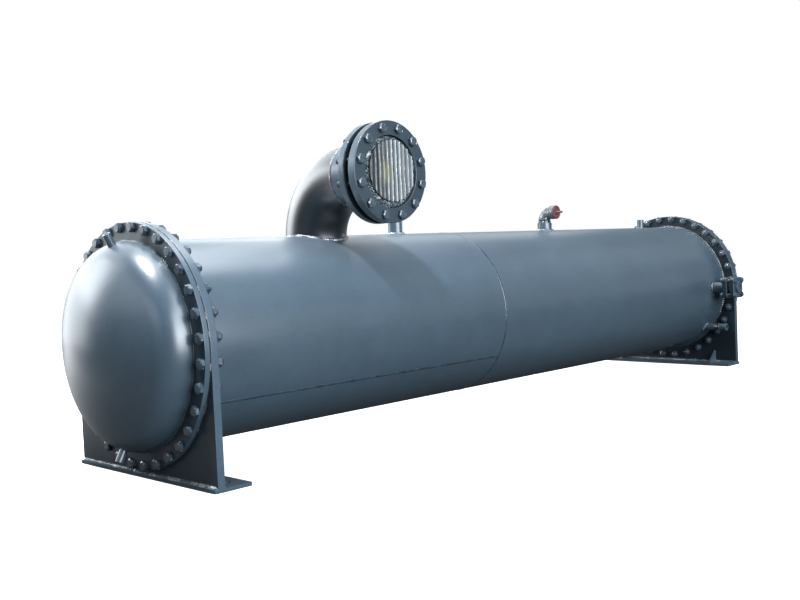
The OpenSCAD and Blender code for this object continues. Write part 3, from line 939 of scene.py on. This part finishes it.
class EXCHANGER_OT_nozzle(Operator):
    """Make the nozzle's flange, its gasket pack, the cover ring and their bolts"""

    bl_idname = "exchanger.nozzle"
    bl_label = "Nozzle rings"

    def execute(self, context):
        size = context.scene.exchanger_bolts
        self.ring("nozzle_back_ring", "nozzle_flange", NOZZLE_R)
        self.ring("nozzle_front_ring", "nozzle_cover_ring", context.scene.exchanger_cover.window)
        low, high = extent("nozzle_gasket")
        pack = self.layered_pack(half_size("nozzle_gasket")[0], -high[1], -low[1])
        add_piece("nozzle_packing", [pack], "gasket_sheet", "nozzle_gasket")
        front = -extent("nozzle_cover_ring")[0][1]
        back = -extent("nozzle_flange")[1][1]
        rng = np.random.default_rng(23)
        spins = rng.uniform(0, TURN, size.nozzle_count)
        turns = rng.uniform(0, TURN, size.nozzle_count)
        outside = circle_seats(NOZZLE_AXIS - front * Y_AXIS, -Y_AXIS, size.nozzle_circle, size.nozzle_count)
        inside = circle_seats(NOZZLE_AXIS - back * Y_AXIS, -Y_AXIS, size.nozzle_circle, size.nozzle_count)
        end = stud_end(size.stud, size.nut - NUT_OVERLAP, size.nut + size.nozzle_proud)
        parts = [
            scattered(hexagon(size.flats, size.head), outside, -Y_AXIS, spins),
            scattered(rod(size.stud, front - back, 16), inside, -Y_AXIS, turns),
            scattered(hexagon(size.flats, size.nut), inside, Y_AXIS, turns),
            scattered(end, inside, Y_AXIS, turns),
        ]
        add_piece("nozzle_bolts", parts, "bolt_enamel", crease=BOLT_CREASE)
        return {"FINISHED"}

    @staticmethod
    def ring(name, node, bore):
        """A bolted ring with rounded edges in place of its CAD node."""
        low, high = extent(node)
        section = ring_profile(bore, half_size(node)[0], -high[1], -low[1], EDGE)
        # Painted shade and light: the rings' faces are darkened and their rims are lightened
        add_piece(name, [lathe(section, NOZZLE_AXIS, -Y_AXIS, 160)], "ring_enamel", node)

    @staticmethod
    def layered_pack(outer, low, high):
        """A pack of sheets: its outer radius drops by a millimetre between layers."""
        levels, per_layer = 17, 4
        groove = 0.0012
        along = np.linspace(low, high, levels)
        out = outer - groove * (np.arange(levels) % per_layer == per_layer - 1)
        inner = NOZZLE_R - 0.008
        profile = [(inner, low)] + list(zip(out, along)) + [(inner, high)]
        return lathe(profile, NOZZLE_AXIS, -Y_AXIS, 128)


class EXCHANGER_OT_cover(Operator):
    """Make the pleated cover sheet in the nozzle's ring and the crumpled film around it"""

    bl_idname = "exchanger.cover"
    bl_label = "Cover sheet"

    def execute(self, context):
        size = context.scene.exchanger_cover
        add_piece("cover_pleats", [self.pleats(size)], "cover_film", "nozzle_cover_sheet", 50)
        add_piece("cover_rim", [self.crumpled_rim(size)], "crumpled_film", crease=16)
        return {"FINISHED"}

    @staticmethod
    def pleats(size):
        """A thin disc with upright pleats.

        Columns run across at x = R u and rows up each chord at z = R v sqrt(1 - u^2); the front stands
        forward by a sharpened triangle wave of x, uneven from ridge to ridge and swaying a little with z.
        """
        rng = np.random.default_rng(4)
        columns, rows = 281, 41
        u = np.linspace(-1, 1, columns)[:, None]
        v = np.linspace(-1, 1, rows)[None]
        x = size.radius * u + 0 * v
        z = size.radius * v * np.sqrt(1 - u**2)
        sway = 0.0009 * np.sin(z * 24 + 1.1) * np.sin(x * 31) + 0.0006 * np.sin(z * 61 + x * 45)
        turn = (x + sway) / size.pitch + 0.15
        ridge = np.floor(turn + 0.5).astype(int)
        uneven = rng.uniform(0.80, 1.0, 40)[ridge + 20]
        lift = (1 - 2 * np.abs(turn - ridge)) ** 1.25 * uneven * size.depth
        edge = np.clip((1 - u**2) * 30, 0, 1) * np.clip((1 - np.abs(v)) * 24, 0, 1)
        front = -size.fold - lift * edge + 0.004 * (1 - edge)
        face = np.stack([NOZZLE[0] + x, front, NOZZLE[2] + size.lift + z], axis=-1)
        back = face + FILM_THICK * Y_AXIS
        return grid(np.concatenate([face, back[:, ::-1]], axis=1), False, True)

    @staticmethod
    def crumpled_rim(size):
        """A sloping collar of crumpled film from the pleats back into the ring.

        It is creased by the mean of seeded sharp waves, |sin|, most in the middle of its slope.
        """
        around, across, wave_count = 420, 8, 9
        t = angles(around)[:, None]
        k = np.linspace(0, 1, across)[None]
        rng = np.random.default_rng(9)
        waves = rng.integers(14, 80, wave_count)
        phase = rng.uniform(0, TURN, wave_count)
        skew = rng.uniform(-7, 7, wave_count)
        crinkle = np.abs(np.sin(t[..., None] * waves / 2 + phase + k[..., None] * skew)).mean(-1) - 0.6
        overlap = 0.003
        radius = size.radius - overlap + (size.rim - size.radius + overlap) * k
        height = size.lift * (1 - k)
        slope = size.fold - 0.001 + (size.rim_fold - size.fold) * k**1.5
        depth = slope + 0.016 * crinkle * np.sin(math.pi * (0.1 + 0.8 * k))
        x = NOZZLE[0] + radius * np.cos(t)
        z = NOZZLE[2] + height + radius * np.sin(t)
        face = np.stack([x, -depth, z], axis=-1)
        back = face + FILM_THICK * Y_AXIS
        return grid(np.concatenate([face, back[:, ::-1]], axis=1), True, True)


class EXCHANGER_OT_relief(Operator):
    """Make the plated relief elbow and its red plug"""

    bl_idname = "exchanger.relief"
    bl_label = "Relief fitting"

    def execute(self, context):
        low = extent("relief_elbow")[0]
        x = middle("relief_elbow")[0]
        seat, mouth = low[2], low[1]
        bend = 0.036
        leg = 0.010
        a = np.linspace(0, math.pi / 2, 33)
        up = np.linspace(seat - 0.004, seat + leg, 12)[:-1]
        along = np.linspace(-bend, mouth, 16)[1:]
        y = np.concatenate([0 * up, -bend * (1 - np.cos(a)), along])
        top = seat + leg + bend
        z = np.concatenate([up, seat + leg + bend * np.sin(a), np.full(len(along), top)])
        path = np.stack([np.full(len(y), x), y, z], axis=1)
        tangent = unit(np.gradient(path, axis=0))
        normal = np.cross(X_AXIS, tangent)
        s = np.concatenate([[0], np.cumsum(np.linalg.norm(np.diff(path, axis=0), axis=1))])
        tube = 0.0258
        nut_long = 0.012
        band_at = 0.019
        band_half = 0.0018
        collar = 0.0030 * ((s < nut_long) | (np.abs(s - band_at) < band_half))
        mouth_long = 0.030
        mouth_bead = 0.0048 * np.clip((s - s[-1] + mouth_long) / 0.004, 0, 1)
        radius = tube + collar + mouth_bead + 0.0005 * np.sin(s * 900)
        path = np.concatenate([path[[0]], path, path[[-1]]])
        normal = np.concatenate([normal[[0]], normal, normal[[-1]]])
        radius = np.concatenate([[0], radius, [0]])
        elbow = pipe(path, normal, np.broadcast_to(X_AXIS, path.shape), radius)
        add_piece("relief_bend", [elbow], "zinc_coat", "relief_elbow", 40)
        face = -mouth
        stem = 0.009 - extent("relief_plug")[0][1]
        profile = [
            (0, face - 0.005), (0.0306, face - 0.005), (0.0312, face - 0.004), (0.0312, face + 0.001),
            (0.0300, face + 0.0032), (0.0262, face + 0.0036), (0.0240, face + 0.0016),
            (0.0122, face + 0.0012), (0.0102, face + 0.0036), (0.0066, face + 0.0042),
            (0.0054, face + 0.0070), (0.0048, stem - 0.003), (0.0036, stem - 0.0006), (0, stem),
        ]
        plug = lathe(profile, (x, 0, top), -Y_AXIS, 48, False)
        add_piece("relief_cap", [plug], "plug_plastic", "relief_plug", 40)
        return {"FINISHED"}


class EXCHANGER_OT_outlet(Operator):
    """Make the square flanges of the side outlet with their bolts"""

    bl_idname = "exchanger.outlet"
    bl_label = "Side outlet"

    def execute(self, context):
        size = context.scene.exchanger_bolts
        flange_low, flange_high = extent("outlet_inner_flange")
        pack_low, pack_high = extent("outlet_gasket")
        x, _, z = middle("outlet_gasket")
        half = half_size("outlet_inner_flange")[0]
        corner, edge = 0.016, 0.002
        square = rounded([(-half, -half), (half, -half), (half, half), (-half, half)], corner, 8)
        thick = flange_high[1] - flange_low[1]
        inner = slab(square, thick, edge, (x, flange_high[1], z), X_AXIS, Z_AXIS)
        # Painted shade: the outlet's flanges take the far plate's darkened coat
        add_piece("outlet_flange", [inner], "far_shaded_enamel", "outlet_inner_flange")
        boss_height = 0.008
        plate_face = extent("outlet_blank")[0][1] + boss_height
        plate = slab(square, pack_low[1] - plate_face, edge, (x, pack_low[1], z), X_AXIS, Z_AXIS)
        profile = [
            (0, -0.002), (0.0272, -0.002), (0.028, 0), (0.028, 0.006), (0.0262, boss_height),
            (0.0225, boss_height), (0.021, 0.0055), (0.012, 0.005), (0, 0.0046),
        ]
        boss = lathe(profile, (x, plate_face, z), -Y_AXIS, 64, False)
        add_piece("outlet_cover", [plate, boss], "far_shaded_enamel", "outlet_blank")
        section = ring_profile(0.004, half_size("outlet_gasket")[0], -pack_high[1], -pack_low[1], 0.001)
        add_piece("outlet_packing", [lathe(section, (x, 0, z), -Y_AXIS, 64)], "gasket_sheet", "outlet_gasket")
        reach = size.outlet_spacing / 2
        corners = np.array([(1, 0, 1), (-1, 0, 1), (-1, 0, -1), (1, 0, -1)]) * reach
        outside = corners + np.array((x, plate_face, z))
        inside = corners + np.array((x, flange_high[1], z))
        spins = np.random.default_rng(31).uniform(0, TURN, 4)
        head, nut, stud, proud = 0.010, 0.013, 0.008, 0.006
        parts = [
            scattered(hexagon(size.outlet_flats, head), outside, -Y_AXIS, spins),
            scattered(rod(stud, flange_high[1] - plate_face, 12), inside, -Y_AXIS, spins),
            scattered(hexagon(size.outlet_flats, nut), inside, Y_AXIS, spins),
            scattered(stud_end(stud, nut - NUT_OVERLAP, nut + proud), inside, Y_AXIS, spins),
        ]
        add_piece("outlet_bolts", parts, "bolt_enamel", crease=BOLT_CREASE)
        self.drain()
        return {"FINISHED"}

    @staticmethod
    def drain():
        """A dark thread and two collars on the drain socket, turned from (out, along) pairs."""
        x, _, z = middle("drain_socket")
        radius = half_size("drain_socket")[0]
        mouth = -extent("drain_socket")[0][1]
        levels = 16
        sunk = 0.001
        level = np.linspace(mouth - 0.066, mouth - 0.044, levels)
        out = radius + np.where(np.arange(levels) % 2, 0.0004, 0.0016)
        out[[0, -1]] = radius - sunk
        thread = lathe(np.stack([out, level], axis=1), (x, 0, z), -Y_AXIS, 48)
        # Painted shade: the thread takes the elbow's coat, which is darkened on its front
        add_piece("drain_thread", [thread], "pipe_shaded_enamel")
        collars = []
        for end in (mouth - 0.036, mouth - 0.001):
            section = ring_profile(radius - sunk, radius + 0.003, end - 0.008, end, 0.001)
            collars.append(lathe(section, (x, 0, z), -Y_AXIS, 48))
        add_piece("drain_collars", collars, "bolt_enamel", crease=BOLT_CREASE)


class EXCHANGER_OT_welds(Operator):
    """Lay the weld beads of the shell, plates, feet, nozzle and sockets"""

    bl_idname = "exchanger.welds"
    bl_label = "Welds"

    def execute(self, context):
        size = context.scene.exchanger_welds
        pitch = size.pitch
        for name, side in ENDS:
            axis = side * X_AXIS
            rim = AXIS_POINT + HEAD_OUT * axis
            root = AXIS_POINT + PLATE_IN * axis
            parts = [
                circle_bead(rim, axis, SHELL_R, LEAN, 0.008, 0.004, pitch, 3, 0.05),
                circle_bead(root, -axis, SHELL_R, LEAN, size.fillet, size.fillet / 2, 0.010, 7, 0.30),
            ]
            # Partly painted shade: the ring beads' darker enamel stands for the shade in the joints
            add_piece(f"{name}_ring_welds", parts, "weld_enamel")
            parts = [
                self.foot_bead(side * PLATE_OUT, axis + Z_AXIS, size, 13),
                self.foot_bead(side * PLATE_IN, Z_AXIS - axis, size, 17),
            ]
            add_piece(f"{name}_foot_welds", parts, "bare_weld")
        out = np.array((0, -math.cos(size.seam_drop), -math.sin(size.seam_drop)))
        start = AXIS_POINT + SHELL_R * out - PLATE_IN * X_AXIS
        stop = AXIS_POINT + SHELL_R * out + (GIRTH_X + 0.004) * X_AXIS
        girth = AXIS_POINT + GIRTH_X * X_AXIS
        parts = [
            circle_bead(girth, X_AXIS, SHELL_R, 0, size.seam, size.seam_rise, pitch, 19, 0.2),
            line_bead(start, stop, out, size.seam, size.seam_rise, pitch, 29, 0.2),
        ]
        add_piece("shell_seams", parts, "weld_enamel")
        bend_end = NOZZLE_AXIS + NECK_HIGH[1] * Y_AXIS
        neck_end = NOZZLE_AXIS + NECK_LOW[1] * Y_AXIS
        parts = [
            saddle_bead(NOZZLE[0], 0, NOZZLE_R, 0.011, 0.009, 37, 0.25),
            circle_bead(bend_end, Y_AXIS, NOZZLE_R, 0, 0.006, 0.0016, pitch, 41, 0.3),
            circle_bead(neck_end, Y_AXIS, NOZZLE_R, LEAN, 0.013, 0.0065, pitch, 43),
        ]
        add_piece("nozzle_welds", parts, "bare_weld")
        stubs = (("crown_socket", 0.011), ("relief_socket", 0.012), ("vent_nipple", 0.009))
        parts = [
            saddle_bead(middle(node)[0], 0, half_size(node)[0], width, STUB_PITCH, 51 + index)
            for index, (node, width) in enumerate(stubs)
        ]
        parts.append(self.side_bead("drain_socket", 0.010, 62))
        add_piece("stub_welds", parts, "bare_weld")
        x, _, z = middle("outlet_stub")
        mouth = (x, extent("outlet_stub")[0][1], z)
        radius = half_size("outlet_stub")[0]
        parts = [
            self.side_bead("outlet_stub", 0.011, 61),
            circle_bead(mouth, Y_AXIS, radius, LEAN, 0.009, 0.0045, STUB_PITCH, 67),
        ]
        # Painted shade: the darker weld enamel stands for the shadow around the outlet stub
        add_piece("outlet_welds", parts, "weld_enamel")
        return {"FINISHED"}

    @staticmethod
    def foot_bead(x, out, size, seed):
        """The bead along one side of a tube plate on its foot plate."""
        reach = PLATE_R - 0.002
        start = (x, -reach, PLATE_FOOT)
        stop = (x, reach, PLATE_FOOT)
        return line_bead(start, stop, out, size.foot, size.foot / 2, size.pitch, seed, 0.28)

    @staticmethod
    def side_bead(node, width, seed):
        """The bead where a stub towards -Y meets the shell."""
        x, _, z = middle(node)
        offset = z - AXIS_Z
        return saddle_bead(x, offset, half_size(node)[0], width, STUB_PITCH, seed, cross=Z_AXIS, up=-Y_AXIS)


# Soft boxes: name, place, point they face, width and height, power in watts
LAMPS = (
    ("roof", (-1.6, 0.0, 6.4), (-1.6, 0, 0.4), (4.4, 2.2), 145),
    ("roof_far", (1.7, 0.0, 6.4), (1.7, 0, 0.4), (2.2, 2.2), 115),
    ("back_roof", (0.95, 2.25, 5.96), (0.95, 0, 0.4), (4.3, 2.2), 120),
    ("back_high", (-2.4, 4.3, 4.57), (-2.4, 0, 0.4), (8.0, 2.2), 118),
    ("back_left", (-4.55, 5.48, 2.84), (-4.55, 0, 0.4), (2.3, 2.2), 124),
    ("back_window", (-1.4, 5.48, 2.84), (-1.4, 0, 0.4), (4.0, 2.2), 114),
    ("back_right", (2.6, 5.48, 3.3), (-0.9, 0, 0.9), (3.4, 1.4), 60),
    ("back_low", (-3.0, 5.94, 1.05), (-3.0, 0, 0.4), (4.8, 2.0), 103),
    ("back_far", (6.0, 4.3, 4.57), (6.0, 0, 0.4), (6.6, 2.2), 68),
    ("left_window", (-7.0, 0.5, 3.1), (-1.7, 0, 0.5), (7.0, 2.2), 64),
    ("left_low", (-7.5, -0.5, 1.1), (-1.7, 0, 0.5), (7.0, 1.6), 6),
    ("front_left", (-3.0, -5.94, 1.6), (-2.0, 0, 0.4), (2.0, 2.4), 48),
    ("front_low", (-1.0, -5.94, 1.24), (-1.0, 0, 0.4), (5.0, 1.8), 298),
    ("front_window", (-1.1, -5.39, 3.03), (-1.1, 0, 0.4), (4.6, 2.2), 220),
    ("front_roof", (-0.4, -4.17, 4.72), (-0.4, 0, 0.4), (3.2, 2.2), 96),
    ("far_low", (8.2, -5.7, 2.2), (4.0, 0, 0.4), (6.4, 4.0), 28),
    ("far_high", (8.2, -3.4, 5.4), (4.0, 0, 0.4), (6.4, 4.0), 34),
    ("far_end", (8.5, 0.5, 0.55), (1.8, 0.5, 0.55), (4.0, 1.0), 130),
    ("key", (-2.4, 0.15, 3.8), (-0.8, 0, 0.6), (0.26, 0.26), 195),
)
LAMP_COLOUR = (0.94, 0.975, 1.0)
WHITE = (1, 1, 1, 1)


class EXCHANGER_OT_stage(Operator):
    """Set the floor, the lamps, the backdrop and the camera"""

    bl_idname = "exchanger.stage"
    bl_label = "Stage"

    def execute(self, context):
        settings = context.scene.exchanger_stage
        self.floor(settings)
        self.world()
        for lamp in LAMPS:
            self.lamp(*lamp)
        self.camera(settings)
        context.scene.view_settings.view_transform = "Standard"
        return {"FINISHED"}

    @staticmethod
    def floor(settings):
        """A wide flat sheet at the feet's level.

        It is white to the camera and grey to the rest. To reflections it is dark except in two soft patches
        that glow, though they are no lamps, as painted reflections.
        """
        reach = 60.0
        corners = [(-reach, -reach, 0), (reach, -reach, 0), (reach, reach, 0), (-reach, reach, 0)]
        mesh = bpy.data.meshes.new("floor")
        mesh.from_pydata(corners, [], [(0, 1, 2, 3)])
        material = bpy.data.materials.new("floor")
        sheet = Sheet(material)
        place = sheet.place()
        x = sheet.part(place, "X")
        y = sheet.part(place, "Y")
        away = sheet.add("ShaderNodeVectorMath", {"operation": "LENGTH"}, {0: place}, "Value")
        strength = 0.72 + 0.28 * away.between(3, 8)
        grey = sheet.add("ShaderNodeBsdfDiffuse", {}, {"Color": (0.05, 0.05, 0.05, 1)})
        pale = sheet.add("ShaderNodeBsdfDiffuse", {}, {"Color": shade(settings.floor)})
        glow = sheet.add("ShaderNodeEmission", {}, {"Color": WHITE, "Strength": strength})
        white = sheet.add("ShaderNodeAddShader", {}, {0: pale, 1: glow})
        # Painted reflections: the back and far patches glow for the parts that mirror the floor
        back = y.between(0.0, 4.0) * x.between(-3.2, -2.2) * (1 - x.between(-1.8, -0.6))
        far = x.between(2.0, 5.0) * (1 - y.between(-2.0, 0.0))
        share = sheet.ray("Is Camera Ray") + sheet.mirrored() * (0.01 + 0.9 * back + 0.06 * far)
        blend = sheet.add("ShaderNodeMixShader", {}, {0: share, 1: grey, 2: white})
        sheet.add("ShaderNodeOutputMaterial", {}, {"Surface": blend})
        mesh.materials.append(material)
        floor = bpy.data.objects.new("floor", mesh)
        bpy.context.scene.collection.objects.link(floor)

    @staticmethod
    def world():
        """White to the camera, nearly dark to reflections and black to the rest."""
        world = bpy.data.worlds.new("backdrop")
        bpy.context.scene.world = world
        sheet = Sheet(world)
        level = sheet.ray("Is Camera Ray") + 0.04 * sheet.mirrored()
        white = sheet.add("ShaderNodeBackground", {}, {"Color": WHITE, "Strength": level})
        sheet.add("ShaderNodeOutputWorld", {}, {"Surface": white})

    @staticmethod
    def lamp(name, place, target, size, power):
        """A soft box at a place, turned to face a target."""
        data = bpy.data.lights.new(name, "AREA")
        data.shape = "RECTANGLE"
        data.size, data.size_y = size
        data.energy = power
        data.color = LAMP_COLOUR
        lamp = bpy.data.objects.new(name, data)
        lamp.location = place
        lamp.rotation_euler = (Vector(target) - Vector(place)).to_track_quat("-Z", "Y").to_euler()
        bpy.context.scene.collection.objects.link(lamp)

    @staticmethod
    def camera(settings):
        """A camera turned by yaw from +Y, tilted down by pitch and leaned by roll."""
        yaw, pitch, roll = settings.yaw, settings.pitch, settings.roll
        ahead = Vector((math.sin(yaw) * math.cos(pitch), math.cos(yaw) * math.cos(pitch), -math.sin(pitch)))
        level = Vector((math.cos(yaw), -math.sin(yaw), 0))
        above = level.cross(ahead)
        right = math.cos(roll) * level + math.sin(roll) * above
        up = -math.sin(roll) * level + math.cos(roll) * above
        data = bpy.data.cameras.new("camera")
        data.sensor_fit = "HORIZONTAL"
        data.sensor_width = 36.0
        data.lens = settings.lens
        data.clip_end = 300
        camera = bpy.data.objects.new("camera", data)
        turn = Matrix((right, up, -ahead)).transposed().to_4x4()
        camera.matrix_world = Matrix.Translation(Vector(settings.place)) @ turn
        bpy.context.scene.collection.objects.link(camera)
        bpy.context.scene.camera = camera


SETTINGS = (
    ("exchanger_paint", ExchangerPaint),
    ("exchanger_heads", ExchangerHeads),
    ("exchanger_bolts", ExchangerBolts),
    ("exchanger_welds", ExchangerWelds),
    ("exchanger_cover", ExchangerCover),
    ("exchanger_stage", ExchangerStage),
)

OPERATORS = (
    EXCHANGER_OT_vessel,
    EXCHANGER_OT_heads,
    EXCHANGER_OT_end_plates,
    EXCHANGER_OT_head_bolts,
    EXCHANGER_OT_nozzle,
    EXCHANGER_OT_cover,
    EXCHANGER_OT_relief,
    EXCHANGER_OT_outlet,
    EXCHANGER_OT_welds,
    EXCHANGER_OT_stage,
)


class EXCHANGER_PT_panel(Panel):
    """Settings and pieces of the exchanger in the sidebar"""

    bl_idname = "EXCHANGER_PT_panel"
    bl_label = "Heat exchanger"
    bl_space_type = "VIEW_3D"
    bl_region_type = "UI"
    bl_category = "Exchanger"

    def draw(self, context):
        for operator in OPERATORS:
            self.layout.operator(operator.bl_idname)
        for name, group in SETTINGS:
            box = self.layout.box()
            for key in group.__annotations__:
                box.prop(getattr(context.scene, name), key)


def register():
    for name, group in SETTINGS:
        bpy.utils.register_class(group)
        setattr(bpy.types.Scene, name, PointerProperty(type=group))
    for operator in OPERATORS:
        bpy.utils.register_class(operator)
    bpy.utils.register_class(EXCHANGER_PT_panel)


def unregister():
    bpy.utils.unregister_class(EXCHANGER_PT_panel)
    for operator in reversed(OPERATORS):
        bpy.utils.unregister_class(operator)
    for name, group in reversed(SETTINGS):
        delattr(bpy.types.Scene, name)
        bpy.utils.unregister_class(group)


def main():
    """Makes the pieces in order."""
    register()
    bpy.ops.exchanger.vessel()
    bpy.ops.exchanger.heads()
    bpy.ops.exchanger.end_plates()
    bpy.ops.exchanger.head_bolts()
    bpy.ops.exchanger.nozzle()
    bpy.ops.exchanger.cover()
    bpy.ops.exchanger.relief()
    bpy.ops.exchanger.outlet()
    bpy.ops.exchanger.welds()
    bpy.ops.exchanger.stage()


if __name__ == "__main__":
    main()
